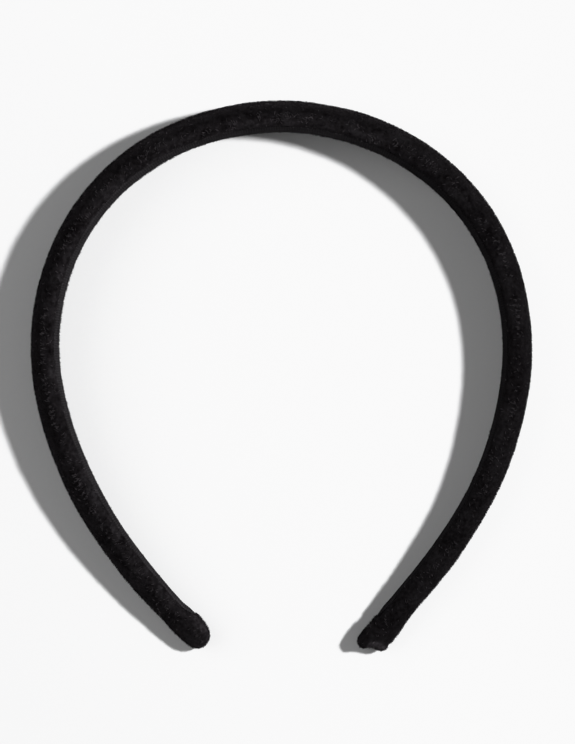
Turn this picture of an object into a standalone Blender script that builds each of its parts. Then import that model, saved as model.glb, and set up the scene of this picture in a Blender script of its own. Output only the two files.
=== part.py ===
"""Padded velvet headband (Alice band), built up in the layers a real one is made of.

Frame: metres, +Z up. The band lies on its side edge on a table at Z = 0, the crown of the
band points to +Y, the two tips to -Y, and X = 0 is its plane of symmetry. The origin is the
middle of the bounding box's base.

Layers, from the head outwards: lining strip, adhesive under it, turned-in edges of the velvet
cover, springy plastic core, double-sided tape, foam strip, velvet cover. A fold of velvet is
tucked over each end of the core. The band opens and closes by bending; two upright flex axes
through the core stand for that bend, so every layer is made as a crown piece and two arm
pieces, which meet on round faces about those axes.
"""

import math

import bmesh
import bpy
from mathutils import Matrix, Vector

# ---------------------------------------------------------------- driving dimensions (metres)
ARM_LENGTH = 0.1872  # along the inner face, from the middle of the crown to the tip
HEADING_SPAN = 0.200  # length over which the heading rule below is written
HEADING_TERMS = (3.0, 4.63, -20.2, 29.06, -14.94)  # odd powers: turn of the inner face, radians
STRAIGHT_FROM = 0.170  # the last of the arm runs straight

CROWN_WIDTH = 0.0250  # height above the table at the crown, the band's width when worn
TIP_WIDTH = 0.0100
WIDTH_POWER = 2.7  # how late the taper sets in along the arm

CROWN_THICKNESS = 0.0077  # lining face to the top of the padding
SIDE_THICKNESS = 0.0072
NECK_DIP = 0.0005  # where the foam ends and the end fold begins
FOLD_BULGE = 0.0001  # over the end fold

LINING_T = 0.0005
COVER_T = 0.00065
COVER_U = 0.00075  # inner face of the velvet's turned-in edges
CORE_U = 0.00160  # inner face of the core
CORE_T = 0.0017
TAPE_U = 0.00345
TAPE_T = 0.0002
FOAM_U = 0.0038
EDGE_FLAT = (0.0021, 0.0031)  # the flat that the side edge rests on, measured as COVER_U is
EDGE_ROUND = 0.0016

END_ROUND = 0.0040  # length of the rounded end of the cover
CORE_END = 0.0044  # the core stops this far short of the tip
FOLD_START = 0.0135  # the end fold starts this far short of the tip
FOAM_END = 0.0142

FLEX_AT = 0.0630  # the flex axes' distance along the arm
FLEX_U = CORE_U + CORE_T / 2
FLEX_RADIUS = 0.0053  # the arm layers end on this cylinder about the axis
FLEX_GAP = 0.0003
ARM_FROM = FLEX_AT - 0.0072

CROWN_STEPS = 20  # stations of a crown layer
ARM_STEPS = 18  # stations of an arm layer, its rounded end apart
DOME_STEPS = 8

NAME = "headband"


# ---------------------------------------------------------------- the band's line and sizes
def heading(s):
    q = min(s, STRAIGHT_FROM) / HEADING_SPAN
    return sum(c * q ** (2 * i + 1) for i, c in enumerate(HEADING_TERMS))


def line_point(s, steps=400):
    """Point of the inner face at the distance s from the middle of the crown, by the midpoint rule."""
    ds = s / steps
    x = y = 0.0
    for i in range(steps):
        a = heading((i + 0.5) * ds)
        x += math.cos(a) * ds
        y -= math.sin(a) * ds
    return x, y


def smooth(a, b, x):
    t = min(1.0, max(0.0, (x - a) / (b - a)))
    return t * t * (3 - 2 * t)


def width(s):
    q = min(1.0, abs(s) / ARM_LENGTH)
    return TIP_WIDTH + (CROWN_WIDTH - TIP_WIDTH) * (1 - q**WIDTH_POWER)


def thickness(s):
    s = abs(s)
    t = CROWN_THICKNESS + (SIDE_THICKNESS - CROWN_THICKNESS) * smooth(0.030, 0.085, s)
    t -= NECK_DIP * math.exp(-(((s - (ARM_LENGTH - 0.0155)) / 0.0060) ** 2))
    t += FOLD_BULGE * math.exp(-(((s - (ARM_LENGTH - 0.0060)) / 0.0050) ** 2))
    return t


def centre_shift():
    """How far the line moves along Y so that the bounding box is centred on the origin."""
    high = CROWN_THICKNESS
    low = 0.0
    for i in range(60):
        s = ARM_LENGTH - 0.012 + 0.012 * i / 59
        grow = end_scale(s, ARM_LENGTH, END_ROUND)
        x, y = line_point(s)
        a = heading(s)
        mid = (COVER_U + thickness(s)) / 2
        for u in (mid + (COVER_U - mid) * grow, mid + (thickness(s) - mid) * grow):
            low = min(low, y + u * math.cos(a))
    return -(high + low) / 2


def end_scale(s, end, rounding):
    t = (abs(s) - (end - rounding)) / rounding
    return 1.0 if t <= 0 else math.sqrt(max(0.0, 1 - min(t, 0.985) ** 2))


def place(s, u, z, side=1):
    """World point at the distance s along the line, u outwards from the inner face, z above the table."""
    x, y = line_point(abs(s))
    a = heading(abs(s))
    x += u * math.sin(a)
    y += u * math.cos(a)
    if s < 0:
        x = -x
    return Vector((side * x, y + SHIFT, z))


SHIFT = centre_shift()


# ---------------------------------------------------------------- sections, as rings of (u, z)
def d_ring(s, inset=0.0, flat_lift=0.0):
    """The cover's outline: flat towards the head, a small flat on each side edge, a dome outside."""
    w, t = width(s), thickness(s)
    u_in, u_out = COVER_U + inset, t - inset
    e = EDGE_ROUND
    lift = inset + flat_lift
    a, b = EDGE_FLAT
    ring = []
    for i in range(4):  # inner corner, bottom
        f = math.pi / 2 * i / 3
        ring.append((a - (a - u_in) * math.cos(f), e - (e - lift) * math.sin(f)))
    for i in range(DOME_STEPS + 1):
        f = math.pi * i / DOME_STEPS
        ring.append((b + (u_out - b) * math.sin(f), w / 2 - (w / 2 - lift) * math.cos(f)))
    for i in range(3, -1, -1):  # inner corner, top
        f = math.pi / 2 * i / 3
        ring.append((a - (a - u_in) * math.cos(f), w - e + (e - lift) * math.sin(f)))
    return ring


def shrunk(ring, s, end, rounding):
    """The ring drawn in towards the middle of the section, for a rounded end."""
    k = end_scale(s, end, rounding)
    if k == 1.0:
        return ring
    uc = (COVER_U + thickness(s)) / 2
    zc = width(s) / 2
    return [(uc + (u - uc) * k, zc + (z - zc) * k) for u, z in ring]


def bar_ring(s, u0, u1, margin, end=None, rounding=0.0035):
    """A plain rectangle, margin(w) in from both side edges, with its end rounded in width."""
    w = width(s)
    m = margin(w)
    k = 1.0 if end is None else end_scale(s, end, rounding)
    half = (w / 2 - m) * k
    return [(u0, w / 2 - half), (u1, w / 2 - half), (u1, w / 2 + half), (u0, w / 2 + half)]


def foam_ring(s):
    w, t = width(s), thickness(s)
    half = w / 2 - 0.0014
    rise = t - COVER_T - 0.00035 - FOAM_U
    ring = []
    for i in range(DOME_STEPS + 1):
        f = math.pi * i / DOME_STEPS
        ring.append((FOAM_U + rise * math.sin(f), w / 2 - half * math.cos(f)))
    return ring


def fold_ring(s):
    """The end fold fills the cover's hollow, before the core's seat is cut out of it."""
    return d_ring(s, COVER_T + 0.0003)


# ---------------------------------------------------------------- stations along the line
def crown_stations(past=0.0):
    """From one flex plane to the other, and past them where a cutter has to run out."""
    at = [-FLEX_AT + 2 * FLEX_AT * i / CROWN_STEPS for i in range(CROWN_STEPS + 1)]
    return [at[0] - past, *at, at[-1] + past] if past else at


def arm_stations(end, rounding=0.0, before=0.0, first=ARM_FROM):
    """All the layers share these stations, so their facets stay parallel. A rounded end adds its own."""
    step = (ARM_LENGTH - END_ROUND - ARM_FROM) / ARM_STEPS
    at = [ARM_FROM + i * step for i in range(ARM_STEPS + 1)]
    at = [s for s in at if first + 0.001 < s < end - rounding - 0.001]
    at = [first - before, *([first] if before else []), *at, end - rounding]
    if rounding:
        at += [end - rounding + rounding * math.sin(math.radians(f)) for f in (26, 48, 65, 80)]
    return at


# ---------------------------------------------------------------- making objects
def clear_scene():
    for obj in list(bpy.data.objects):
        bpy.data.objects.remove(obj, do_unlink=True)
    for mesh in list(bpy.data.meshes):
        bpy.data.meshes.remove(mesh)


def new_collection(name):
    made = bpy.data.collections.new(name)
    bpy.context.scene.collection.children.link(made)
    return made


def material(name, colour, roughness, sheen=0.0):
    made = bpy.data.materials.new(name)
    made.use_nodes = True
    shader = made.node_tree.nodes["Principled BSDF"]
    shader.inputs["Base Color"].default_value = (*colour, 1.0)
    shader.inputs["Roughness"].default_value = roughness
    shader.inputs["Metallic"].default_value = 0.0
    shader.inputs["Sheen Weight"].default_value = sheen
    made.diffuse_color = (*colour, 1.0)
    return made


def loft(name, where, at, ring_at, side=1):
    """A closed skin through the rings at the stations, with both ends capped."""
    bm = bmesh.new()
    rings = [[bm.verts.new(place(s, u, z, side)) for u, z in ring_at(s)] for s in at]
    for one, two in zip(rings, rings[1:]):
        for i in range(len(one)):
            j = (i + 1) % len(one)
            bm.faces.new((one[i], one[j], two[j], two[i]))
    bm.faces.new(rings[0])
    bm.faces.new(rings[-1])
    bmesh.ops.recalc_face_normals(bm, faces=bm.faces)
    mesh = bpy.data.meshes.new(name)
    bm.to_mesh(mesh)
    bm.free()
    obj = bpy.data.objects.new(name, mesh)
    where.objects.link(obj)
    return obj


def finish_part(obj, mat, parent=None):
    obj.data.materials.append(mat)
    if parent is not None:
        obj.parent = parent
        obj.matrix_parent_inverse = parent.matrix_world.inverted()
    obj.data.shade_smooth()
    obj.data.set_sharp_from_angle(angle=math.radians(35))
    return obj


def as_cutter(obj):
    obj.hide_render = True
    obj.display_type = "WIRE"
    return obj


def boolean(obj, other, operation="DIFFERENCE"):
    mod = obj.modifiers.new(operation.lower(), "BOOLEAN")
    mod.operation = operation
    mod.solver = "EXACT"
    mod.object = other
    return obj


def upright_cylinder(name, where, centre, radius, segments=48):
    bpy.ops.mesh.primitive_cylinder_add(
        vertices=segments,
        radius=radius,
        depth=0.060,
        location=(centre.x, centre.y, CROWN_WIDTH / 2),
    )
    obj = bpy.context.object
    obj.name = name
    for old in list(obj.users_collection):
        old.objects.unlink(obj)
    where.objects.link(obj)
    return as_cutter(obj)


def flex_relief(name, where, side):
    """The block on the crown's side of the flex plane, less the arm's round end: it trims an arm layer."""
    axis = place(FLEX_AT, FLEX_U, 0.0, side)
    a = heading(FLEX_AT)
    along = Vector((side * math.cos(a), -math.sin(a), 0.0))
    bpy.ops.mesh.primitive_cube_add(size=1.0)
    obj = bpy.context.object
    obj.name = name
    obj.data.transform(Matrix.Diagonal((0.020, 0.040, 0.060, 1.0)))
    turn = math.atan2(along.y, along.x)
    centre = axis - along * 0.010
    obj.data.transform(
        Matrix.Translation((centre.x, centre.y, CROWN_WIDTH / 2)) @ Matrix.Rotation(turn, 4, "Z")
    )
    for old in list(obj.users_collection):
        old.objects.unlink(obj)
    where.objects.link(obj)
    return as_cutter(obj)


# ---------------------------------------------------------------- the build
def main():
    clear_scene()
    parts = new_collection(NAME)
    cutters = new_collection("cutters")

    velvet = material("black_velvet", (0.010, 0.009, 0.011), 0.95, 0.35)
    lining = material("black_lining", (0.014, 0.013, 0.015), 0.85, 0.1)
    plastic = material("black_plastic_core", (0.022, 0.022, 0.024), 0.45)
    foam = material("white_foam", (0.78, 0.76, 0.70), 0.9)
    tape = material("double_sided_tape", (0.70, 0.68, 0.60), 0.6)
    glue = material("set_adhesive", (0.62, 0.55, 0.38), 0.35)
    fold = material("black_velvet_fold", (0.012, 0.011, 0.013), 0.95, 0.35)

    sides = {"left": -1, "right": 1}
    flex, socket, relief = {}, {}, {}
    for name, side in sides.items():
        axis = place(FLEX_AT, FLEX_U, 0.0, side)
        flex[name] = bpy.data.objects.new(name + "_flex_axis", None)
        flex[name].location = (axis.x, axis.y, CROWN_WIDTH / 2)
        parts.objects.link(flex[name])
        socket[name] = upright_cylinder(
            name + "_flex_socket", cutters, axis, FLEX_RADIUS + FLEX_GAP
        )
        end = upright_cylinder(name + "_flex_end", cutters, axis, FLEX_RADIUS)
        relief[name] = boolean(flex_relief(name + "_flex_relief", cutters, side), end)
    bpy.context.view_layer.update()

    # how far short of the tip each layer stops, and its section
    def core(s, end=None):
        return bar_ring(s, CORE_U, CORE_U + CORE_T, lambda w: 0.0012, end, 0.0030)

    def tape_ring(s, end=None):
        return bar_ring(s, TAPE_U, TAPE_U + TAPE_T, lambda w: 0.0020, end, 0.0010)

    def lining_ring(s, end=None):
        return bar_ring(s, 0.0, LINING_T, lambda w: 0.13 * w, end, 0.0030)

    def glue_ring(s, end=None):
        return bar_ring(s, 0.00070, 0.00140, lambda w: 0.31 * w, end, 0.0015)

    def slot_ring(s, end=None):
        return bar_ring(s, -0.0010, 0.00150, lambda w: 0.27 * w, end, 0.0015)

    layers = {
        # name: (section, stops short of the tip by, rounding, material)
        "lining": (lining_ring, 0.0090, 0.0030, lining),
        "lining_glue": (glue_ring, 0.0165, 0.0015, glue),
        "core": (core, CORE_END, 0.0030, plastic),
        "foam_tape": (tape_ring, FOAM_END + 0.001, 0.0010, tape),
    }
    for name, (section, short, rounding, mat) in layers.items():
        piece = loft(
            "crown_" + name, parts, crown_stations(), section
        )
        for which in sides:
            boolean(piece, socket[which])
        finish_part(piece, mat)
        end = ARM_LENGTH - short
        for which, side in sides.items():
            piece = loft(
                which + "_" + name,
                parts,
                arm_stations(end, rounding),
                lambda s, section=section, end=end: section(s, end),
                side,
            )
            boolean(piece, relief[which])
            finish_part(piece, mat, flex[which])

    # foam: a strip with a domed back, cut square where the end fold begins
    piece = loft("crown_foam", parts, crown_stations(), foam_ring)
    for which in sides:
        boolean(piece, socket[which])
    finish_part(piece, foam)
    for which, side in sides.items():
        piece = loft(
            which + "_foam",
            parts,
            arm_stations(ARM_LENGTH - FOAM_END),
            foam_ring,
            side,
        )
        boolean(piece, relief[which])
        finish_part(piece, foam, flex[which])

    # cover: a sleeve closed round both side edges, open along the middle of its inner face
    piece = loft("crown_cover", parts, crown_stations(), d_ring)
    at = crown_stations(past=0.003)
    hollow = as_cutter(
        loft("crown_hollow", cutters, at, lambda s: d_ring(s, COVER_T))
    )
    opening = as_cutter(loft("crown_cover_opening", cutters, at, slot_ring))
    boolean(piece, hollow)
    boolean(piece, opening)
    for which in sides:
        boolean(piece, socket[which])
    finish_part(piece, velvet)
    for which, side in sides.items():
        end = ARM_LENGTH
        piece = loft(
            which + "_cover",
            parts,
            arm_stations(end, END_ROUND),
            lambda s, end=end: shrunk(d_ring(s), s, end, END_ROUND),
            side,
        )
        inner = ARM_LENGTH - 0.0007
        hollow = as_cutter(
            loft(
                which + "_hollow",
                cutters,
                arm_stations(inner, END_ROUND, before=0.002),
                lambda s, inner=inner: shrunk(d_ring(s, COVER_T), s, inner, END_ROUND),
                side,
            )
        )
        stop = ARM_LENGTH - 0.0145
        opening = as_cutter(
            loft(
                which + "_cover_opening",
                cutters,
                arm_stations(stop, 0.0015, before=0.002),
                lambda s, stop=stop: slot_ring(s, stop),
                side,
            )
        )
        boolean(piece, hollow)
        boolean(piece, opening)
        boolean(piece, relief[which])
        finish_part(piece, velvet, flex[which])

        # end fold: velvet tucked over the core's end, hollowed to seat on the core
        last = ARM_LENGTH - 0.00110
        piece = loft(
            which + "_end_fold",
            parts,
            arm_stations(last, END_ROUND, first=ARM_LENGTH - FOLD_START),
            lambda s, last=last: shrunk(fold_ring(s), s, last, END_ROUND),
            side,
        )
        seat = as_cutter(
            loft(
                which + "_core_seat",
                cutters,
                arm_stations(
                    ARM_LENGTH - CORE_END + 0.0003, first=ARM_LENGTH - FOLD_START, before=0.002
                ),
                lambda s: bar_ring(s, -0.001, CORE_U + CORE_T + 0.00025, lambda w: -0.002),
                side,
            )
        )
        boolean(piece, seat)
        finish_part(piece, fold, flex[which])


main()
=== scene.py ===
import math

import bpy
import numpy as np
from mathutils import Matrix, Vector


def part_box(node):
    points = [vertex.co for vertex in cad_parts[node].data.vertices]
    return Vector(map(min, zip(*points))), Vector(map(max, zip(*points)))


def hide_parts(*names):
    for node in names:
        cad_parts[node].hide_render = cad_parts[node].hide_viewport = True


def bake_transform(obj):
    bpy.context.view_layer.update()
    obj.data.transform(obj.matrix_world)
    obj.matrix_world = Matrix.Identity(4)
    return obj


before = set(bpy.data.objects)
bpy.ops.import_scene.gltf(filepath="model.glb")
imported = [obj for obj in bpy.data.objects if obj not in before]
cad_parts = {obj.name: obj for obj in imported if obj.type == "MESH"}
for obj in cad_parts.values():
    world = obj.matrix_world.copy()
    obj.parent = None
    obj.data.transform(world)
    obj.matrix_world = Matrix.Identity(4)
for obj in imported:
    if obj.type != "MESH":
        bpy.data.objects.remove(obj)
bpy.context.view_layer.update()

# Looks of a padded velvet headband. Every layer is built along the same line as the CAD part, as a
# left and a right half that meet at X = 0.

MM = 0.001

# ---------------------------------------------------------------- sizes, the same as in the CAD part (metres)
ARM_LENGTH = 0.1872
HEADING_SPAN = 0.200
HEADING_TERMS = (3.0, 4.63, -20.2, 29.06, -14.94)
STRAIGHT_FROM = 0.170
CROWN_WIDTH = 0.0250
TIP_WIDTH = 0.0100
WIDTH_POWER = 2.7
CROWN_THICKNESS = 0.0077
SIDE_THICKNESS = 0.0072
NECK_DIP = 0.0005
FOLD_BULGE = 0.0001
LINING_T = 0.00062
COVER_T = 0.00065
COVER_U = 0.00075
LIP_U = 0.00030
CORE_U = 0.00160
CORE_T = 0.0017
TAPE_U = 0.00345
TAPE_T = 0.0002
FOAM_U = 0.0038
EDGE_FLAT = (0.0021, 0.0031)
EDGE_ROUND = 0.0016
END_ROUND = 0.0040
CORE_END = 0.0044
FOLD_START = 0.0135
FOAM_END = 0.0142

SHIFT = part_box("crown_cover")[1].y - CROWN_THICKNESS  # the line's start along Y
SIDES = {"left": -1, "right": 1}


# ---------------------------------------------------------------- the band's line, for arrays of s
def heading(s):
    q = np.minimum(s, STRAIGHT_FROM) / HEADING_SPAN
    return sum(c * q ** (2 * i + 1) for i, c in enumerate(HEADING_TERMS))


_STEP = 0.00005
_AT = np.arange(0.0, 0.200, _STEP)
_TURN = heading(_AT + _STEP / 2)
_X = np.concatenate([[0.0], np.cumsum(np.cos(_TURN) * _STEP)])
_Y = np.concatenate([[0.0], -np.cumsum(np.sin(_TURN) * _STEP)])
_AT = np.arange(len(_X)) * _STEP


def smooth(a, b, x):
    t = np.clip((x - a) / (b - a), 0.0, 1.0)
    return t * t * (3 - 2 * t)


def bump_at(s, centre, spread):
    return np.exp(-(((s - centre) / spread) ** 2))


def width(s):
    q = np.minimum(1.0, s / ARM_LENGTH)
    return TIP_WIDTH + (CROWN_WIDTH - TIP_WIDTH) * (1 - q**WIDTH_POWER)


def thickness(s):
    t = CROWN_THICKNESS + (SIDE_THICKNESS - CROWN_THICKNESS) * smooth(0.030, 0.085, s)
    t = t - NECK_DIP * bump_at(s, ARM_LENGTH - 0.0155, 0.0060)
    return t + FOLD_BULGE * bump_at(s, ARM_LENGTH - 0.0060, 0.0050)


def end_scale(s, end, rounding, square=2.0):
    t = np.clip((s - (end - rounding)) / rounding, 0.0, 0.985)
    return (1 - t**square) ** (1 / square)


def unevenness(s, side):
    """A soft band isn't quite symmetric: how far its inner and its outer face stand outwards of the design."""
    if side > 0:
        inner = -0.00035 * bump_at(s, 0.038, 0.024) * smooth(0, 0.02, s) + 0.00040 * bump_at(s, 0.134, 0.016)
        inner = inner - 0.00028 * smooth(ARM_LENGTH - 0.015, ARM_LENGTH - 0.006, s)
        outer = 0.00036 * bump_at(s, 0.127, 0.018) - 0.00014 * bump_at(s, 0.014, 0.012) * smooth(0, 0.010, s)
        outer = outer + 0.00040 * smooth(0.160, 0.176, s)
    else:
        inner = 0.00032 * smooth(0.008, 0.030, s) * (1 - smooth(0.092, 0.112, s))
        inner = inner - 0.00045 * bump_at(s, 0.132, 0.020)
        inner = inner - 0.00022 * bump_at(s, 0.158, 0.010)
        inner = inner - 0.00055 * smooth(ARM_LENGTH - 0.015, ARM_LENGTH - 0.003, s)
        inner = inner - 0.00070 * bump_at(s, ARM_LENGTH - 0.0082, 0.0034)
        outer = -0.00010 * bump_at(s, 0.078, 0.024) + 0.00030 * bump_at(s, 0.170, 0.006)
        outer = outer - 0.00085 * smooth(ARM_LENGTH - 0.012, ARM_LENGTH - 0.001, s)
    return inner, outer


def tip_reach(s, share, side):
    """The folded ends aren't cut square: the right one runs on a little, most of all on its inner side."""
    if side > 0:
        reach = 0.0019 * (1 - smooth(0.15, 0.70, share)) - 0.0008 * share + 0.0006 * bump_at(share, 0.36, 0.14)
        return reach * smooth(ARM_LENGTH - 0.016, ARM_LENGTH, s)
    return -0.0009 * smooth(ARM_LENGTH - 0.016, ARM_LENGTH, s)


def place(s, u, z, side):
    """World points at the distance s along the line, u outwards from the inner face, z above the table."""
    s, u, z = np.broadcast_arrays(s, u, z)
    inner, outer = unevenness(s, side)
    share = np.clip(u / SIDE_THICKNESS, 0.0, 1.0)
    u = u + inner * (1 - share) + outer * share
    s = s + tip_reach(s, share, side)
    a = heading(s)
    x = np.interp(s, _AT, _X) + u * np.sin(a)
    y = np.interp(s, _AT, _Y) + u * np.cos(a) + SHIFT
    return np.stack([side * x, y, z], axis=-1)


# ---------------------------------------------------------------- seeded noise
def _hash(x, y, z, seed):
    h = (x * 374761393 + y * 668265263 + z * 1442695041 + seed * 974634777) & 0xFFFFFFFF
    h = ((h ^ (h >> 13)) * 1274126177) & 0xFFFFFFFF
    h = ((h ^ (h >> 15)) * 2246822519) & 0xFFFFFFFF
    return (h ^ (h >> 16)) / 2147483648.0 - 1.0


def noise(p, seed):
    """Smooth value noise from -1 to 1 at the points p, with a grain of one unit."""
    i = np.floor(p).astype(np.int64)
    f = p - i
    f = f * f * f * (f * (f * 6 - 15) + 10)
    total = 0.0
    for dx in (0, 1):
        wx = f[..., 0] if dx else 1 - f[..., 0]
        for dy in (0, 1):
            wy = f[..., 1] if dy else 1 - f[..., 1]
            for dz in (0, 1):
                wz = f[..., 2] if dz else 1 - f[..., 2]
                total = total + wx * wy * wz * _hash(
                    i[..., 0] + dx, i[..., 1] + dy, i[..., 2] + dz, seed
                )
    return total


def strip_coordinates(s, t, side, grain):
    """Noise coordinates on the strip: along it (running through the crown) and across it."""
    s, t = np.broadcast_arrays(s, t)
    return np.stack([side * s / grain, t / grain, np.zeros_like(s)], axis=-1)


# ---------------------------------------------------------------- meshes from arrays
def make_mesh(name, verts, polygons, flat=0):
    """polygons is a list of index arrays, each (n, corners); the last `flat` polygons are flat shaded."""
    me = bpy.data.meshes.new(name)
    verts = np.ascontiguousarray(verts, dtype=np.float32)
    me.vertices.add(len(verts))
    me.vertices.foreach_set("co", verts.ravel())
    loops = np.concatenate([p.ravel() for p in polygons]).astype(np.int32)
    sizes = np.concatenate([np.full(len(p), p.shape[1]) for p in polygons])
    starts = np.concatenate([[0], np.cumsum(sizes)[:-1]]).astype(np.int32)
    me.loops.add(len(loops))
    me.loops.foreach_set("vertex_index", loops)
    me.polygons.add(len(sizes))
    me.polygons.foreach_set("loop_start", starts)
    me.update(calc_edges=True)
    me.shade_smooth()
    if flat:
        for p in list(me.polygons)[-flat:]:
            p.use_smooth = False
    obj = bpy.data.objects.new(name, me)
    bpy.context.scene.collection.objects.link(obj)
    return obj


def loft(name, grid, side, sharp=None):
    """A closed skin through the rings grid[station, point], with both ends capped."""
    n, m = grid.shape[:2]
    index = np.arange(n * m).reshape(n, m)
    a, b = index[:-1], index[1:]
    quads = np.stack([a, np.roll(a, -1, 1), np.roll(b, -1, 1), b], axis=-1).reshape(-1, 4)
    first, last = index[0][None, ::-1], index[-1][None, :]
    polygons = [quads, first, last]
    if volume(grid.reshape(-1, 3), quads) < 0:
        polygons = [p[:, ::-1] for p in polygons]
    obj = make_mesh(name, grid.reshape(-1, 3), polygons, flat=2)
    if sharp:
        obj.data.set_sharp_from_angle(angle=math.radians(sharp))
    return obj


def volume(verts, quads):
    p = verts[quads]
    c = p.mean(axis=(0, 1))
    p = p - c
    return float(
        (p[:, 0] * np.cross(p[:, 1], p[:, 2])).sum() + (p[:, 0] * np.cross(p[:, 2], p[:, 3])).sum()
    )


def add_vectors(obj, name, values):
    layer = obj.data.attributes.new(name, "FLOAT_VECTOR", "POINT")
    layer.data.foreach_set("vector", np.ascontiguousarray(values, dtype=np.float32).ravel())


# ---------------------------------------------------------------- material helpers
class Nodes:
    """A small helper that builds one procedural material."""

    def __init__(self, name):
        self.material = bpy.data.materials.new(name)
        self.material.use_nodes = True
        self.tree = self.material.node_tree
        self.shader = self.tree.nodes["Principled BSDF"]

    def add(self, kind, values=None, **settings):
        node = self.tree.nodes.new(kind)
        for key, value in settings.items():
            setattr(node, key, value)
        for key, value in (values or {}).items():
            if isinstance(value, bpy.types.NodeSocket):
                self.tree.links.new(value, node.inputs[key])
            else:
                node.inputs[key].default_value = value
        return node

    def link(self, out, into):
        self.tree.links.new(out, into)

    def set(self, **values):
        for key, value in values.items():
            self.shader.inputs[key.replace("_", " ")].default_value = value

    def coordinates(self, scale, attribute=None):
        """Object coordinates in millimetres, or the strip's own."""
        if attribute:
            source = self.add("ShaderNodeAttribute", attribute_name=attribute).outputs["Vector"]
        else:
            source = self.add("ShaderNodeTexCoord").outputs["Object"]
        scale = scale if isinstance(scale, tuple) else (scale,) * 3
        return self.add(
            "ShaderNodeVectorMath", {0: source, 1: scale}, operation="MULTIPLY"
        ).outputs["Vector"]

    def noise(self, vector, scale=1.0, detail=3.0, roughness=0.55, distortion=0.0):
        return self.add(
            "ShaderNodeTexNoise",
            {
                "Vector": vector,
                "Scale": scale,
                "Detail": detail,
                "Roughness": roughness,
                "Distortion": distortion,
            },
        ).outputs["Fac"]

    def ramp(self, factor, stops):
        node = self.add("ShaderNodeValToRGB", {"Fac": factor})
        ramp = node.color_ramp
        while len(ramp.elements) < len(stops):
            ramp.elements.new(0.5)
        for element, (at, colour) in zip(ramp.elements, stops):
            element.position = at
            element.color = (*colour, 1.0) if len(colour) == 3 else colour
        return node.outputs["Color"]

    def painted_light(self, colour, amount, inner=True):
        """Painted light: colour made lighter where the band is lit, on the inner side of the left arm and of the
        crown, in patches.
        """
        strip = self.add("ShaderNodeAttribute", attribute_name="strip").outputs["Vector"]
        parts = self.add("ShaderNodeSeparateXYZ", {0: strip}).outputs
        spread = 0.75 if inner else 0.25
        patches = self.noise(self.coordinates(1000.0), 0.42, 3.0, 0.6, 0.4)
        patches = self.remap(patches, 0.36, 0.64, 1 - spread, 1 + spread)
        where = self.maths("MULTIPLY", self.remap(parts["X"], 0.045, 0.004, 0.0, 1.0), patches)
        if inner:
            where = self.maths("MULTIPLY", where, self.remap(parts["Z"], 0.0042, 0.0012, 0.0, 1.0))
            # painted light too: the outer side there is painted a little lighter, and the turned end of the right
            # arm, which faces the key lamp, lighter most of all
            outer = self.maths(
                "MULTIPLY",
                self.remap(parts["X"], 0.020, -0.010, 0.0, 1.0),
                self.remap(parts["Z"], 0.0042, 0.0062, 0.0, 0.7),
            )
            flap = self.maths(
                "MULTIPLY",
                self.remap(parts["X"], ARM_LENGTH - 0.0025, ARM_LENGTH - 0.0019, 0.0, 1.0),
                self.remap(parts["Z"], 0.0027, 0.0033, 0.0, 2.9),
            )
            # painted light: the inner side of the left tip, which faces the key lamp, is painted lighter
            rim = self.maths(
                "MULTIPLY",
                self.remap(parts["X"], 0.012 - ARM_LENGTH, 0.006 - ARM_LENGTH, 0.0, 1.0),
                self.remap(parts["Z"], 0.0026, 0.0010, 0.0, 1.1),
            )
            where = self.maths("ADD", self.maths("ADD", where, outer), self.maths("ADD", flap, rim))
        gain = self.maths("ADD", self.maths("MULTIPLY", where, amount), 1.0)
        return self.add("ShaderNodeVectorMath", {0: colour, "Scale": gain}, operation="SCALE").outputs["Vector"]

    def remap(self, value, low, high, to_low, to_high):
        return self.add(
            "ShaderNodeMapRange",
            {"Value": value, "From Min": low, "From Max": high, "To Min": to_low, "To Max": to_high},
        ).outputs["Result"]

    def maths(self, operation, one, two):
        return self.add("ShaderNodeMath", {0: one, 1: two}, operation=operation).outputs[0]

    def bump(self, height, distance, strength=1.0, before=None):
        values = {"Height": height, "Distance": distance, "Strength": strength}
        if before is not None:
            values["Normal"] = before
        return self.add("ShaderNodeBump", values).outputs["Normal"]


def grey(value, tint=(1.0, 1.0, 1.0)):
    return tuple(value * c for c in tint)


def velvet_material(name, dark=0.0020, light=0.0112, sheen=0.024):
    n = Nodes(name)
    mm = n.coordinates(1000.0)
    crush = n.noise(mm, 0.16, 3.0, 0.6, 0.6)  # where the nap has been pressed or brushed
    tufts = n.noise(mm, 1.1, 4.0, 0.62)  # clumps of pile
    fibres = n.noise(mm, 6.0, 2.0, 0.5)
    mixed = n.maths("ADD", n.maths("MULTIPLY", crush, 0.45), n.maths("MULTIPLY", tufts, 0.55))
    colour = n.ramp(
        mixed,
        [
            (0.40, grey(dark, (1.08, 0.89, 0.99))),
            (0.52, grey((dark + light) / 2, (1.05, 0.925, 1.02))),
            (0.64, grey(light, (1.03, 0.95, 1.04))),
        ],
    )
    # painted light: the velvet's colour is made lighter where the band is lit
    n.link(n.painted_light(colour, 0.95), n.shader.inputs["Base Color"])
    n.link(n.remap(tufts, 0.3, 0.7, 0.78, 1.0), n.shader.inputs["Roughness"])
    first = n.bump(crush, 0.0006, 0.5)
    second = n.bump(tufts, 0.00022, 0.7, first)
    n.link(n.bump(fibres, 0.00006, 0.6, second), n.shader.inputs["Normal"])
    n.set(Sheen_Weight=sheen, Sheen_Roughness=0.5, Specular_IOR_Level=0.0)
    n.shader.inputs["Sheen Tint"].default_value = (0.98, 0.88, 0.95, 1.0)
    return n.material


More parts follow.
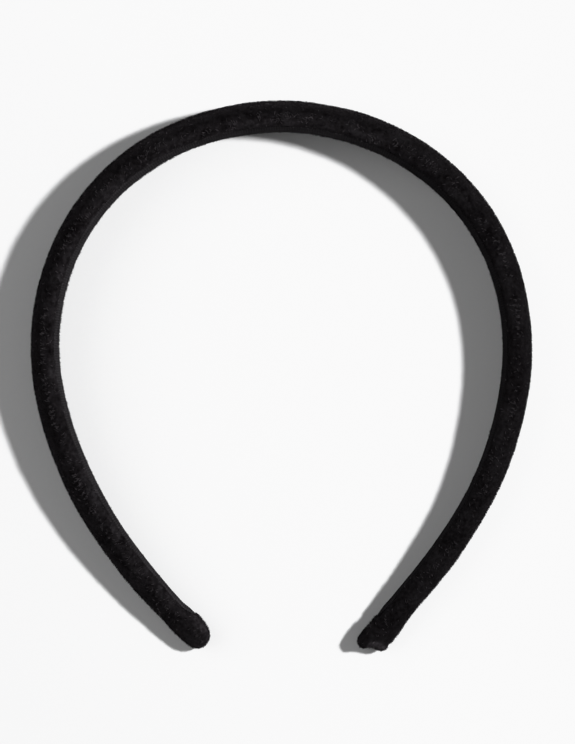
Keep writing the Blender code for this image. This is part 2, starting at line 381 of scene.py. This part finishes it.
def fibre_material(name, dark, light, sheen, shine=0.0, roughness=(0.55, 0.85)):
    n = Nodes(name)
    mm = n.coordinates(1000.0)
    each = n.noise(mm, 1.6, 3.0, 0.65)
    patch = n.noise(mm, 0.22, 2.0, 0.6)
    mixed = n.maths("ADD", n.maths("MULTIPLY", each, 0.65), n.maths("MULTIPLY", patch, 0.35))
    tint = (1.05, 0.925, 1.02)
    colour = n.ramp(mixed, [(0.38, grey(dark, tint)), (0.64, grey(light, tint))])
    # painted light: the pile's colour is made lighter where the band is lit
    n.link(n.painted_light(colour, 0.95), n.shader.inputs["Base Color"])
    n.link(n.remap(each, 0.3, 0.7, roughness[1], roughness[0]), n.shader.inputs["Roughness"])
    n.set(Sheen_Weight=sheen, Sheen_Roughness=0.45, Specular_IOR_Level=shine)
    n.shader.inputs["Sheen Tint"].default_value = (0.98, 0.90, 0.96, 1.0)
    return n.material


def lining_material(name):
    n = Nodes(name)
    strip = n.coordinates((1000.0, 1000.0, 1000.0), "strip")
    wide = n.noise(n.coordinates(1000.0), 0.12, 3.0, 0.6)
    rib = n.add(
        "ShaderNodeTexWave",
        {"Vector": strip, "Scale": 0.4545, "Distortion": 0.25, "Detail": 1.0, "Detail Scale": 2.0},
        wave_type="BANDS",
        bands_direction="X",
        wave_profile="SIN",
    ).outputs["Fac"]
    warp = n.add(
        "ShaderNodeTexWave",
        {"Vector": strip, "Scale": 0.92, "Distortion": 0.6, "Detail": 1.0, "Detail Scale": 3.0},
        wave_type="BANDS",
        bands_direction="Y",
        wave_profile="SIN",
    ).outputs["Fac"]
    woven = n.maths("MULTIPLY", rib, warp)
    mixed = n.maths("ADD", n.maths("MULTIPLY", woven, 0.45), n.maths("MULTIPLY", wide, 0.65))
    colour = n.ramp(mixed, [(0.25, grey(0.0080, (1.05, 0.95, 1.02))), (0.75, grey(0.021, (1.03, 0.96, 1.03)))])
    # painted light: the lining is made lighter on the left arm and the crown, where it is lit, than on the shaded
    # right arm
    n.link(n.painted_light(colour, 1.25, inner=False), n.shader.inputs["Base Color"])
    n.link(n.remap(woven, 0.0, 0.8, 0.72, 0.5), n.shader.inputs["Roughness"])
    n.link(n.bump(woven, 0.00007, 0.8), n.shader.inputs["Normal"])
    n.set(Sheen_Weight=0.0, Specular_IOR_Level=0.0)
    return n.material


def plain_material(name, colour, roughness, grain, depth, spread=0.12, specular=0.4):
    """A hidden layer's material: mottled colour, with its own grain in roughness and bump."""
    n = Nodes(name)
    mm = n.coordinates(1000.0)
    patch = n.noise(mm, 0.25, 3.0, 0.6)
    fine = n.noise(mm, grain, 4.0, 0.6)
    mixed = n.maths("ADD", n.maths("MULTIPLY", patch, 0.5), n.maths("MULTIPLY", fine, 0.5))
    low = tuple(c * (1 - spread) for c in colour)
    high = tuple(min(1.0, c * (1 + spread)) for c in colour)
    n.link(n.ramp(mixed, [(0.35, low), (0.65, high)]), n.shader.inputs["Base Color"])
    n.link(
        n.remap(fine, 0.3, 0.7, max(0.05, roughness - 0.08), min(1.0, roughness + 0.08)),
        n.shader.inputs["Roughness"],
    )
    n.link(n.bump(fine, depth, 0.6), n.shader.inputs["Normal"])
    n.set(Specular_IOR_Level=specular)
    return n.material


# ---------------------------------------------------------------- the velvet cover
FINE = 0.343 * MM  # cell size of the cover's outer skin
OUTER = 150  # points round the outer skin
INNER = 28


def crinkle(s, u, side):
    """Where the cloth turns over a side edge it gathers in small slanted wrinkles: 1 on a crest, -1 between."""
    drift = noise(strip_coordinates(s, u, side, 3.1 * MM), 45) * 0.42
    return np.cos(2 * math.pi * (side * s / (1.45 * MM) - side * 0.5 * (u - 3.4 * MM) / (1.45 * MM) + drift))


def ruffled(s, side):
    """How strong the wrinkles are along an arm: clear on its middle, faint at the crown and the tip."""
    along = 0.35 + 0.65 * smooth(0.022, 0.040, s) * (1 - 0.7 * smooth(0.120, 0.140, s))
    if side < 0:
        along = 0.35 + 0.65 * smooth(0.035, 0.055, s) * (1 - 0.6 * smooth(0.128, 0.150, s))
    patch = 0.55 + 0.45 * noise(strip_coordinates(s, 0 * s, side, 8 * MM), 47)
    return along * patch


def cover_outline(s, gap):
    """The cover's section at each s, from one edge of the slot in its inner face round to the other."""
    w, t = width(s)[:, None], thickness(s)[:, None]
    a, b = EDGE_FLAT
    e = EDGE_ROUND
    g = gap[:, None]
    line = np.linspace(0, 1, 30)[None, :]
    arc = np.linspace(0, math.pi / 2, 16)[None, :]
    dome = np.linspace(0, math.pi, 90)[None, :]
    one = np.ones_like(w)
    low = (w / 2 - g) + (e - (w / 2 - g)) * line

    past_lining = smooth(ARM_LENGTH - 0.0092, ARM_LENGTH - 0.0080, s)[:, None]

    def face(z):
        """The inner face lies under the lining, and rises beside it almost flush with its surface."""
        beside = smooth(0.365, 0.385, np.abs(z - w / 2) / w)
        return COVER_U + (LIP_U - COVER_U) * np.maximum(beside, past_lining)

    edge = face(low[:, -1:])
    u = [
        face(low),
        a - (a - edge) * np.cos(arc) * one,
        b + (t - b) * np.sin(dome),
        a - (a - edge) * np.cos(arc[:, ::-1]) * one,
        face(low)[:, ::-1],
    ]
    z = [
        low,
        e - e * np.sin(arc) * one,
        w / 2 - (w / 2) * np.cos(dome),
        w - e + e * np.sin(arc[:, ::-1]),
        w - low[:, ::-1],
    ]
    return np.concatenate(u, 1), np.concatenate(z, 1)


def resampled(u, z, count):
    """Each row's outline in steps that are finer on the two ridges; also each point's length from the middle."""
    d = np.hypot(np.diff(u, axis=1), np.diff(z, axis=1))
    run = np.concatenate([np.zeros((len(u), 1)), np.cumsum(d, 1)], 1)
    out_u, out_z, out_t = (np.empty((len(u), count)) for _ in range(3))
    for i in range(len(u)):
        dense = 0.7 + 1.3 * np.exp(-(((u[i] - 3.4 * MM) / (1.5 * MM)) ** 2))
        load = np.concatenate([[0.0], np.cumsum(np.diff(run[i]) * (dense[1:] + dense[:-1]) / 2)])
        at = np.interp(np.linspace(0, load[-1], count), load, run[i])
        out_u[i] = np.interp(at, run[i], u[i])
        out_z[i] = np.interp(at, run[i], z[i])
        out_t[i] = at - run[i, -1] / 2
    return out_u, out_z, out_t


def stations(step, end, rounding, round_steps):
    body = np.linspace(0, end - rounding, int(round((end - rounding) / step)) + 1)
    turn = np.radians(np.linspace(0, 80, round_steps + 1)[1:])
    return np.concatenate([body, end - rounding + rounding * np.sin(turn)])


def normals_of(grid):
    along = np.gradient(grid, axis=0)
    across = np.gradient(grid, axis=1)
    n = np.cross(across, along)
    return n / np.maximum(np.linalg.norm(n, axis=-1, keepdims=True), 1e-12)


def build_cover(which, velvet):
    side = SIDES[which]
    square = 2.1 if which == "left" else 3.8
    s = stations(FINE, ARM_LENGTH, END_ROUND, 14)
    k = end_scale(s, ARM_LENGTH, END_ROUND, square)
    # the last rings close the end, so that the sleeve is a full cap there
    s = np.concatenate([s, ARM_LENGTH - 0.06 * MM * np.array([0.80, 0.62, 0.46, 0.33, 0.22, 0.14, 0.09, 0.05])])
    k = np.concatenate([k, k[-1] * np.array([0.90, 0.78, 0.65, 0.51, 0.37, 0.23, 0.11, 0.03])])[:, None]
    calm = np.clip(k / 0.35, 0.0, 1.0)
    gap = 0.23 * width(s) * (1 - smooth(ARM_LENGTH - 0.0165, ARM_LENGTH - 0.0140, s)) + 0.00002
    u, z, t = resampled(*cover_outline(s, gap), OUTER)
    uc, zc = ((COVER_U + thickness(s)) / 2)[:, None], (width(s) / 2)[:, None]
    skin = place(s[:, None], uc + (u - uc) * k, zc + (z - zc) * k, side)
    normal = normals_of(skin) * side
    # keep it pointing outwards
    if (normal[len(s) // 2, OUTER // 2] * (skin[len(s) // 2, OUTER // 2] - skin[len(s) // 2, 2])).sum() < 0:
        normal = -normal

    S, T = np.broadcast_arrays(s[:, None], t)
    w = width(s)[:, None]
    # the nap: lumps of the padding, puckers where the cloth turns over the inner edges, clumps of pile
    lumps = noise(strip_coordinates(S, T, side, 17 * MM), 3) * 0.09 * MM
    lumps += noise(strip_coordinates(S, T, side, 6.5 * MM), 5) * 0.05 * MM
    edge = np.exp(-((u - 1.5 * MM) / (1.3 * MM)) ** 2) * (np.abs(z - w / 2) > 0.30 * w)
    pucker = noise(
        np.stack([side * S / (2.1 * MM), np.sign(z - w / 2) * 3.0 + 0 * S, 0 * S], -1), 9
    )
    lumps += pucker * 0.085 * MM * edge
    clumps = noise(strip_coordinates(S, T, side, 1.15 * MM), 11) * 0.050 * MM
    clumps += noise(strip_coordinates(S, T, side, 0.55 * MM), 12) * 0.035 * MM
    # the cloth turns sharply at the ridge of each side edge, and the pile opens there in a fine line
    on_edge = np.abs(z - w / 2) > 0.36 * w
    ridge = np.exp(-(((u - 3.4 * MM) / (0.75 * MM)) ** 2)) * on_edge
    part = (crinkle(S, u, side) - 0.35) * 0.19 * MM * ridge * ruffled(S, side)
    shift = lumps + clumps + part
    under_lining = (u < COVER_U + 0.02 * MM) & (np.abs(z - w / 2) < 0.36 * w)
    shift = np.where(under_lining & (S < ARM_LENGTH - 0.009), np.minimum(shift, 0) * 0.4, shift)
    rim = np.minimum(smooth(0, 3, np.arange(OUTER)), smooth(0, 3, np.arange(OUTER)[::-1]))[None, :]
    shift = shift * rim
    shift = (shift + tip_shape(S, u, z, w, which)) * calm
    skin = skin + normal * shift[..., None]
    skin[..., 2] = np.maximum(skin[..., 2], 0.0)
    skin[0, :, 0] = 0.0
    normal = normals_of(skin) * side
    if (normal[len(s) // 2, OUTER // 2] * (skin[len(s) // 2, OUTER // 2] - skin[len(s) // 2, 2])).sum() < 0:
        normal = -normal

    inner_s = s - 0.0007 * smooth(ARM_LENGTH - 0.010, ARM_LENGTH, s)
    iu, iz, _ = resampled(*cover_outline(s, gap), INNER)
    lift = COVER_T
    mid_u, mid_z = (COVER_U + thickness(s)) / 2, width(s) / 2
    mid_u, mid_z = mid_u[:, None], mid_z[:, None]
    half_u, half_z = thickness(s)[:, None] - mid_u, mid_z
    iu = mid_u + (iu - mid_u) * (half_u - lift) / half_u
    iz = mid_z + (iz - mid_z) * (half_z - lift) / half_z
    ik = k * 0.985
    iu, iz = mid_u + (iu - mid_u) * ik, mid_z + (iz - mid_z) * ik
    lining_side = place(inner_s[:, None], iu, iz, side)[:, ::-1]
    lining_side[0, :, 0] = 0.0
    grid = np.concatenate([skin, lining_side], axis=1)
    obj = loft("velvet_cover_" + which, grid, side)
    marks = [
        np.stack([side * S, z - w / 2, u], -1),
        np.stack(np.broadcast_arrays(side * s[:, None], iz - w / 2, iu), -1)[:, ::-1],
    ]
    add_vectors(obj, "strip", np.concatenate(marks, axis=1).reshape(-1, 3))
    obj.data.materials.append(velvet)
    return obj, {"skin": skin, "normal": normal, "s": S, "t": T, "u": u, "z": z, "w": w, "side": side}


def tip_shape(s, u, z, w, which):
    """The folded ends: a full round bulb on the left, a squarer fold with a lip and a notch on the right."""
    back = ARM_LENGTH - s
    if which == "left":
        bulb = 0.16 * MM * bump_at(back, 0.0050, 0.0030) * smooth(0.3, 0.7, 1 - u / SIDE_THICKNESS)
        crease = -0.16 * MM * bump_at(back, 0.0128, 0.0007) * (np.abs(z - w / 2) > 0.2 * w)
        return bulb + crease
    lip = 0.30 * MM * bump_at(back, 0.0012, 0.0011) * smooth(0.45, 0.60, u / SIDE_THICKNESS)
    crease = -0.55 * MM * bump_at(back, 0.0031, 0.0005) * smooth(0.22, 0.34, u / SIDE_THICKNESS)
    notch = -0.15 * MM * bump_at(u, 0.0029, 0.0005) * bump_at(back, 0.0004, 0.0016)
    return lip + crease * (z > w / 2) + notch


# ---------------------------------------------------------------- the pile, as short closed fibres
def samples(data, count, seed, weight=None):
    """Random places on the cover's outer skin, evenly by area, or by the weight given for each cell."""
    rng = np.random.default_rng(seed)
    skin = data["skin"]
    a, b, c, d = skin[:-1, :-1], skin[1:, :-1], skin[:-1, 1:], skin[1:, 1:]
    area = np.linalg.norm(np.cross(b - a, c - a), axis=-1)
    if weight is not None:
        area = area * weight[:-1, :-1]
    total = np.cumsum(area.ravel())
    pick = np.searchsorted(total, rng.random(count) * total[-1])
    pick = np.minimum(pick, area.size - 1)
    i, j = np.divmod(pick, area.shape[1])
    f, g = rng.random(count), rng.random(count)

    def mix(values):
        f_, g_ = (f, g) if values.ndim == 2 else (f[:, None], g[:, None])
        top = values[i, j] * (1 - f_) + values[i + 1, j] * f_
        low = values[i, j + 1] * (1 - f_) + values[i + 1, j + 1] * f_
        return top * (1 - g_) + low * g_

    n = mix(data["normal"])
    n /= np.linalg.norm(n, axis=1, keepdims=True)
    along = skin[np.minimum(i + 1, len(skin) - 1), j] - skin[i, j]
    along /= np.maximum(np.linalg.norm(along, axis=1, keepdims=True), 1e-9)
    return {
        "at": mix(skin),
        "normal": n,
        "along": along,
        "across": np.cross(n, along),
        "s": mix(np.ascontiguousarray(data["s"])),
        "t": mix(np.ascontiguousarray(data["t"])),
        "u": mix(np.ascontiguousarray(data["u"])),
        "rng": rng,
    }


def mark_fibres(obj, got, side, corners):
    marks = np.stack([side * got["s"], got["t"], got["u"]], -1)
    add_vectors(obj, "strip", np.repeat(marks, corners, axis=0))


def outside_lining(data):
    covered = (data["u"] < COVER_U + 0.05 * MM) & (np.abs(data["z"] - data["w"] / 2) < 0.355 * data["w"])
    covered &= data["s"] < ARM_LENGTH - 0.0105
    crease = (np.abs(ARM_LENGTH - data["s"] - 0.0031) < 0.0003) & (data["u"] > 0.0024) & (data["side"] > 0)
    return np.where(covered | crease, 0.0, 1.0)


def build_pile(which, data, material, count, seed):
    """Each tuft of the pile is a slim closed spike, rooted under the skin and leaning with the nap."""
    got = samples(data, count, seed, outside_lining(data))
    rng, side = got["rng"], data["side"]
    sway = noise(strip_coordinates(got["s"], got["t"], side, 7 * MM), 31)
    swirl = noise(strip_coordinates(got["s"], got["t"], side, 2.2 * MM), 33)
    lean_s = 0.30 + 0.55 * sway + rng.normal(0, 0.28, count)
    lean_t = 0.45 * swirl + rng.normal(0, 0.28, count)
    d = got["normal"] + got["along"] * lean_s[:, None] + got["across"] * lean_t[:, None]
    d /= np.linalg.norm(d, axis=1, keepdims=True)
    length = (0.30 + 0.26 * rng.random(count)) * MM
    radius = (0.055 + 0.035 * rng.random(count)) * MM
    side_a = np.cross(d, got["along"] + 0.37 * got["across"])
    side_a /= np.linalg.norm(side_a, axis=1, keepdims=True)
    side_b = np.cross(d, side_a)
    root = got["at"] - got["normal"] * 0.07 * MM
    turn = rng.random(count) * 2 * math.pi
    verts = np.empty((count, 4, 3))
    for k in range(3):
        a = turn + k * 2 * math.pi / 3
        verts[:, k] = root + radius[:, None] * (
            np.cos(a)[:, None] * side_a + np.sin(a)[:, None] * side_b
        )
    verts[:, 3] = root + d * (length + 0.07 * MM)[:, None]
    verts[..., 2] = np.maximum(verts[..., 2], 0.00001)
    verts[..., 0] = side * np.maximum(side * verts[..., 0], -0.0002)
    base = np.arange(count)[:, None, None] * 4
    faces = np.array([[0, 2, 1], [0, 1, 3], [1, 2, 3], [2, 0, 3]])[None]
    flip = (
        np.cross(verts[:, 1] - verts[:, 0], verts[:, 2] - verts[:, 0]) * (verts[:, 3] - verts[:, 0])
    ).sum(-1) < 0
    f = np.where(flip[:, None, None], faces[..., ::-1], faces)
    obj = make_mesh("velvet_pile_" + which, verts.reshape(-1, 3), [(base + f).reshape(-1, 3)])
    mark_fibres(obj, got, side, 4)
    obj.data.materials.append(material)
    return obj


def build_glints(which, data, material, count, seed):
    """Ruffled tufts as small bent fibres, most of them along the two ridges; their colour is lighter than the
    pile's, as a painted highlight for the glints.
    """
    w, u, z, s, side = data["w"], data["u"], data["z"], data["s"], data["side"]
    on_edge = np.abs(z - w / 2) > 0.38 * w
    ridge = np.exp(-(((u - 3.4 * MM) / (0.55 * MM)) ** 2)) * on_edge
    face = np.exp(-(((u - 2.4 * MM) / (1.4 * MM)) ** 2)) * on_edge
    crest = smooth(0.25, 0.9, crinkle(s, u, side))
    broken = smooth(-0.05, 0.5, noise(strip_coordinates(s, data["t"], side, 2.3 * MM), 41))
    near_crown = 1 - smooth(0.020, 0.045, s)
    weight = ridge * crest * ruffled(s, side) ** 2 * 1.6 + 0.22 * face * broken * (0.25 + near_crown) + 0.006
    got = samples(data, count, seed, weight * outside_lining(data))
    rng = got["rng"]
    side = data["side"]
    ring, joints = 3, 4
    # on the ridge they lie along the wrinkles' crests, elsewhere any way
    angle = np.where(
        (got["s"] > 0.030) & (rng.random(count) < 0.8),
        math.radians(63) + rng.normal(0, 0.30, count),
        rng.random(count) * 2 * math.pi,
    )
    lie = np.cos(angle)[:, None] * got["along"] + np.sin(angle)[:, None] * got["across"]
    turn_to = np.cross(got["normal"], lie)
    size = (0.30 + 0.42 * rng.random(count)) * MM
    curl = rng.uniform(-1.9, 1.9, count)
    thick = (0.045 + 0.035 * rng.random(count)) * MM
    verts = np.empty((count, joints, ring, 3))
    for q in range(joints):
        p = q / (joints - 1)
        a = curl * (p - 0.5)
        spine = (
            got["at"]
            + lie * (size * (p - 0.5) * 1.5 * np.cos(a))[:, None]
            + turn_to * (size * np.sin(a) * 0.55)[:, None]
            + got["normal"] * (0.06 * MM + 0.24 * MM * math.sin(math.pi * p))
        )
        r = thick * (0.45 + 0.75 * math.sin(math.pi * (0.12 + 0.76 * p)))
        for k in range(ring):
            b = k * 2 * math.pi / ring
            verts[:, q, k] = spine + r[:, None] * (
                math.cos(b) * got["normal"] + math.sin(b) * turn_to
            )
    verts[..., 2] = np.maximum(verts[..., 2], 0.00001)
    verts[..., 0] = side * np.maximum(side * verts[..., 0], -0.0002)
    index = np.arange(count * joints * ring).reshape(count, joints, ring)
    a, b = index[:, :-1], index[:, 1:]
    quads = np.stack([a, np.roll(a, -1, 2), np.roll(b, -1, 2), b], -1).reshape(-1, 4)
    first, last = index[:, 0, ::-1].reshape(-1, 3), index[:, -1].reshape(-1, 3)
    polygons = [quads, first, last]
    flat = verts.reshape(-1, 3)
    one = quads[:9]
    if volume(flat, one) < 0:
        polygons = [p[:, ::-1] for p in polygons]
    obj = make_mesh("velvet_glints_" + which, flat, polygons)
    mark_fibres(obj, got, side, joints * ring)
    obj.data.materials.append(material)
    return obj


# ---------------------------------------------------------------- the lining and the hidden layers
def build_lining(which, material):
    side = SIDES[which]
    end, rounding = ARM_LENGTH - 0.0090, 0.0030
    s = stations(0.18 * MM, end, rounding, 12)
    w = width(s)
    k = end_scale(s, end, rounding)
    half = (w / 2 - 0.13 * w) * k
    across = np.concatenate(
        [[-1.0, -0.985, -0.95, -0.90], np.linspace(-0.82, 0.82, 15), [0.90, 0.95, 0.985, 1.0]]
    )
    edge = np.abs(across)
    v = across[None, :] * half[:, None]
    rib = 0.5 + 0.5 * np.cos(2 * math.pi * s / (0.70 * MM))
    field = 1 - smooth(0.93, 0.985, edge)
    u = 0.10 * MM - 0.075 * MM * rib[:, None] * field[None, :]
    u = u + 0.02 * MM * noise(strip_coordinates(s[:, None], v, side, 1.1 * MM), 51)
    u = u + 0.24 * MM * smooth(0.965, 1.0, edge)[None, :]
    u = u + 0.16 * MM * smooth(end - 0.0025, end, s)[:, None]
    back_v = v[:, ::-4]
    back_u = np.full_like(back_v, LINING_T) - 0.10 * MM * smooth(0.9, 1.0, np.abs(across[::-4]))[None, :]
    uu = np.concatenate([np.maximum(u, 0.0), back_u], 1)
    zz = (w / 2)[:, None] + np.concatenate([v, back_v], 1)
    grid = place(s[:, None], uu, zz, side)
    grid[0, :, 0] = 0.0
    obj = loft("lining_strip_" + which, grid, side)
    S = np.broadcast_to(side * s[:, None], zz.shape)
    add_vectors(obj, "strip", np.stack([S, zz - (w / 2)[:, None], 0 * zz], -1).reshape(-1, 3))
    obj.data.materials.append(material)
    area = float(np.trapezoid(2 * half, s)) if hasattr(np, "trapezoid") else float(np.trapz(2 * half, s))
    return obj, area


def rounded_bar(s, u0, u1, half, corner, steps=4):
    """A bar's section at each s: a rectangle from u0 to u1 and of the half height given, round the middle."""
    centre = (width(s) / 2)[:, None]
    corners = []
    h = half[:, None]
    c = np.minimum(corner, np.minimum((u1 - u0) / 2, h) * 0.98)
    f = np.linspace(0, math.pi / 2, steps)[None, :]
    for cu, cz, a0 in (
        (u0 + c, -h + c, math.pi),
        (u1 - c, -h + c, 1.5 * math.pi),
        (u1 - c, h - c, 0.0),
        (u0 + c, h - c, 0.5 * math.pi),
    ):
        corners.append((cu + c * np.cos(a0 + f), cz + c * np.sin(a0 + f)))
    u = np.concatenate([a for a, _ in corners], 1)
    z = np.concatenate([b for _, b in corners], 1)
    return u, centre + z


def build_bar(name, which, u0, u1, margin, short, rounding, corner, material, ripple=0.0):
    side = SIDES[which]
    end = ARM_LENGTH - short
    s = stations(1.2 * MM, end, rounding, 8)
    half = (width(s) / 2 - margin(width(s))) * end_scale(s, end, rounding)
    u, z = rounded_bar(s, u0, u1, half, corner)
    if ripple:
        z = z + ripple * noise(strip_coordinates(s[:, None], z, side, 3 * MM), 61)
    grid = place(s[:, None], u, z, side)
    grid[0, :, 0] = 0.0
    obj = loft(name + "_" + which, grid, side, sharp=40)
    obj.data.materials.append(material)
    return obj


def build_foam(which, material):
    side = SIDES[which]
    s = stations(1.0 * MM, ARM_LENGTH - FOAM_END, 0.0008, 4)
    half = (width(s) / 2 - 0.0014)[:, None]
    rise = (thickness(s) - COVER_T - 0.00035 - FOAM_U)[:, None]
    f = np.linspace(0, math.pi, 33)[None, :]
    u = FOAM_U + rise * np.sin(f)
    z = (width(s) / 2)[:, None] - half * np.cos(f)
    u = u + (0.04 * MM * noise(strip_coordinates(s[:, None], z, side, 1.6 * MM), 71) - 0.04 * MM) * np.sin(f)
    grid = place(s[:, None], u, z, side)
    grid[0, :, 0] = 0.0
    obj = loft("foam_pad_" + which, grid, side, sharp=40)
    obj.data.materials.append(material)
    return obj


def build_end_fold(which, material):
    """The end of the cover tucked in over the end of the core, as a crumpled wad that fills the tip."""
    side = SIDES[which]
    square = 2.1 if which == "left" else 3.8
    end = ARM_LENGTH - 0.0014
    s0 = ARM_LENGTH - FOLD_START
    s = stations(0.5 * MM, end, END_ROUND, 10)
    s = s[s >= s0]
    w, t = width(s)[:, None], thickness(s)[:, None]
    inset = COVER_T + 0.00035
    u0 = CORE_U + CORE_T + 0.0002
    f = np.linspace(0, math.pi, 29)[None, :]
    u = u0 + (t - inset - u0) * np.sin(f) ** 0.8
    z = w / 2 - (w / 2 - inset) * np.cos(f)
    pleats = noise(strip_coordinates(s[:, None], z, side, 1.3 * MM), 81)
    u = u - (0.10 * MM + 0.09 * MM * pleats) * np.sin(f)
    k = end_scale(s, end, END_ROUND, square)[:, None]
    uc, zc = (u0 + (t - inset)) / 2, w / 2
    grid = place(s[:, None], uc + (u - uc) * k, zc + (z - zc) * k, side)
    obj = loft("end_fold_" + which, grid, side)
    marks = np.broadcast_arrays(side * s[:, None], z - w / 2, np.full_like(z, 0.005))
    add_vectors(obj, "strip", np.stack(marks, -1).reshape(-1, 3))
    obj.data.materials.append(material)
    return obj


# ---------------------------------------------------------------- the object
velvet = velvet_material("black_velvet")
pile_look = fibre_material("black_velvet_pile", 0.0018, 0.0125, 0.018)
# painted highlight: the same black pile, in a colour about four times lighter, for the glints on the ridges
glint_look = fibre_material("velvet_pile_catching_light", 0.008, 0.050, 0.03, 0.15, (0.4, 0.7))
lining_look = lining_material("black_ribbed_lining")
core_look = plain_material("black_moulded_core", (0.022, 0.022, 0.024), 0.42, 2.5, 0.00003)
foam_look = plain_material("off_white_foam", (0.78, 0.76, 0.70), 0.9, 3.2, 0.00025, 0.07, 0.2)
tape_look = plain_material("double_sided_tape", (0.70, 0.68, 0.60), 0.5, 1.2, 0.00003, 0.05)
glue_look = plain_material("set_adhesive", (0.62, 0.55, 0.38), 0.3, 0.8, 0.00012, 0.10)

for which, side in SIDES.items():
    pieces = []
    cover, data = build_cover(which, velvet)
    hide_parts(which + "_cover", "crown_cover")
    pieces.append(cover)

    pile = build_pile(which, data, pile_look, 42000, 100 + side)
    pieces.append(pile)
    glints = build_glints(which, data, glint_look, 1500, 200 + side)
    pieces.append(glints)

    lining, area = build_lining(which, lining_look)
    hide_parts(which + "_lining", "crown_lining")
    pieces.append(lining)

    core = build_bar(
        "core_strip", which, CORE_U, CORE_U + CORE_T, lambda w: 0.0012, CORE_END, 0.0030, 0.0005, core_look
    )
    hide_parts(which + "_core", "crown_core")
    pieces.append(core)

    tape = build_bar(
        "foam_tape", which, TAPE_U, TAPE_U + TAPE_T, lambda w: 0.0020, FOAM_END + 0.001, 0.0006, 0.00005, tape_look,
        ripple=0.00006,
    )
    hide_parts(which + "_foam_tape", "crown_foam_tape")
    pieces.append(tape)

    glue = build_bar(
        "lining_glue", which, 0.00080, 0.00135, lambda w: 0.31 * w, 0.0165, 0.0015, 0.0002, glue_look,
        ripple=0.00030,
    )
    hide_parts(which + "_lining_glue", "crown_lining_glue")
    pieces.append(glue)

    foam = build_foam(which, foam_look)
    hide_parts(which + "_foam", "crown_foam")
    pieces.append(foam)

    fold = build_end_fold(which, velvet)
    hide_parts(which + "_end_fold")
    pieces.append(fold)

    for piece in pieces:
        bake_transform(piece)


# ---------------------------------------------------------------- floor, light and camera
def floor():
    me = bpy.data.meshes.new("floor")
    r = 3.0
    me.from_pydata([(-r, -r, 0), (r, -r, 0), (r, r, 0), (-r, r, 0)], [], [(0, 1, 2, 3)])
    obj = bpy.data.objects.new("floor", me)
    bpy.context.scene.collection.objects.link(obj)
    n = Nodes("pale_floor")
    paper = n.noise(n.coordinates(1000.0), 0.9, 3.0, 0.5)
    n.link(n.ramp(paper, [(0.3, (0.795, 0.797, 0.80)), (0.7, (0.805, 0.807, 0.81))]), n.shader.inputs["Base Color"])
    n.set(Roughness=0.95, Specular_IOR_Level=0.0)
    # the studio's own light on the floor far from the object, so that it stays even out to the horizon
    away = n.add("ShaderNodeVectorMath", {0: n.coordinates(1.0)}, operation="LENGTH").outputs["Value"]
    far = n.add(
        "ShaderNodeMapRange",
        {"Value": away, "From Min": 0.10, "From Max": 1.1, "To Min": 0.0, "To Max": 0.85},
        interpolation_type="SMOOTHSTEP",
    ).outputs["Result"]
    n.link(far, n.shader.inputs["Emission Strength"])
    n.shader.inputs["Emission Color"].default_value = (1.0, 1.0, 1.0, 1.0)
    me.materials.append(n.material)
    return obj


floor()

def lamp(name, kind, place_at, energy, size):
    light = bpy.data.lights.new(name, kind)
    light.energy = energy
    if kind == "AREA":
        light.shape = "DISK"
        light.size = size
    else:
        light.shadow_soft_size = size
    obj = bpy.data.objects.new(name, light)
    obj.location = place_at
    obj.rotation_mode = "QUATERNION"
    obj.rotation_quaternion = (Vector(place_at) - Vector((0, 0, 0.01))).to_track_quat("Z", "Y")
    obj.visible_camera = False
    bpy.context.scene.collection.objects.link(obj)
    return obj


lamp("key_lamp", "POINT", (0.500, 0.105, 0.840), 40.0, 0.042)
lamp("soft_lamp", "AREA", (-0.70, 0.15, 0.90), 3.1, 0.95)

world = bpy.data.worlds.new("soft_studio")
world.use_nodes = True
tree = world.node_tree
background = tree.nodes["Background"]
background.inputs["Color"].default_value = (1.0, 1.0, 1.0, 1.0)
background.inputs["Strength"].default_value = 0.12
shown = tree.nodes.new("ShaderNodeBackground")
shown.inputs["Color"].default_value = (0.90, 0.90, 0.91, 1.0)
shown.inputs["Strength"].default_value = 1.0
path = tree.nodes.new("ShaderNodeLightPath")
mix = tree.nodes.new("ShaderNodeMixShader")
tree.links.new(path.outputs["Is Camera Ray"], mix.inputs[0])
tree.links.new(background.outputs[0], mix.inputs[1])
tree.links.new(shown.outputs[0], mix.inputs[2])
tree.links.new(mix.outputs[0], tree.nodes["World Output"].inputs["Surface"])
bpy.context.scene.world = world

camera = bpy.data.cameras.new("camera")
camera.lens = 148.5
camera.sensor_width = 36.0
camera.sensor_fit = "AUTO"
camera.clip_start = 0.01
camera_object = bpy.data.objects.new("camera", camera)
camera_object.location = (0.00155, 0.00142, 0.85)
camera_object.rotation_euler = (0.0, 0.0, math.radians(-1.16))
bpy.context.scene.collection.objects.link(camera_object)
bpy.context.scene.camera = camera_object

view = bpy.context.scene.view_settings
view.view_transform = "Standard"
view.look = "None"
view.exposure = 0.0
view.gamma = 1.0
# a soft shoulder, as on film: whites are held just under full white, and darks are left as they are
view.use_curve_mapping = True
curves = view.curve_mapping
curves.extend = "HORIZONTAL"
shoulder = curves.curves[3]
shoulder.points[0].location = (0.0, 0.0)
shoulder.points[1].location = (1.0, 0.953)
for x, y in ((0.25, 0.25), (0.50, 0.57), (0.72, 0.86), (0.86, 0.938)):
    shoulder.points.new(x, y)
curves.update()
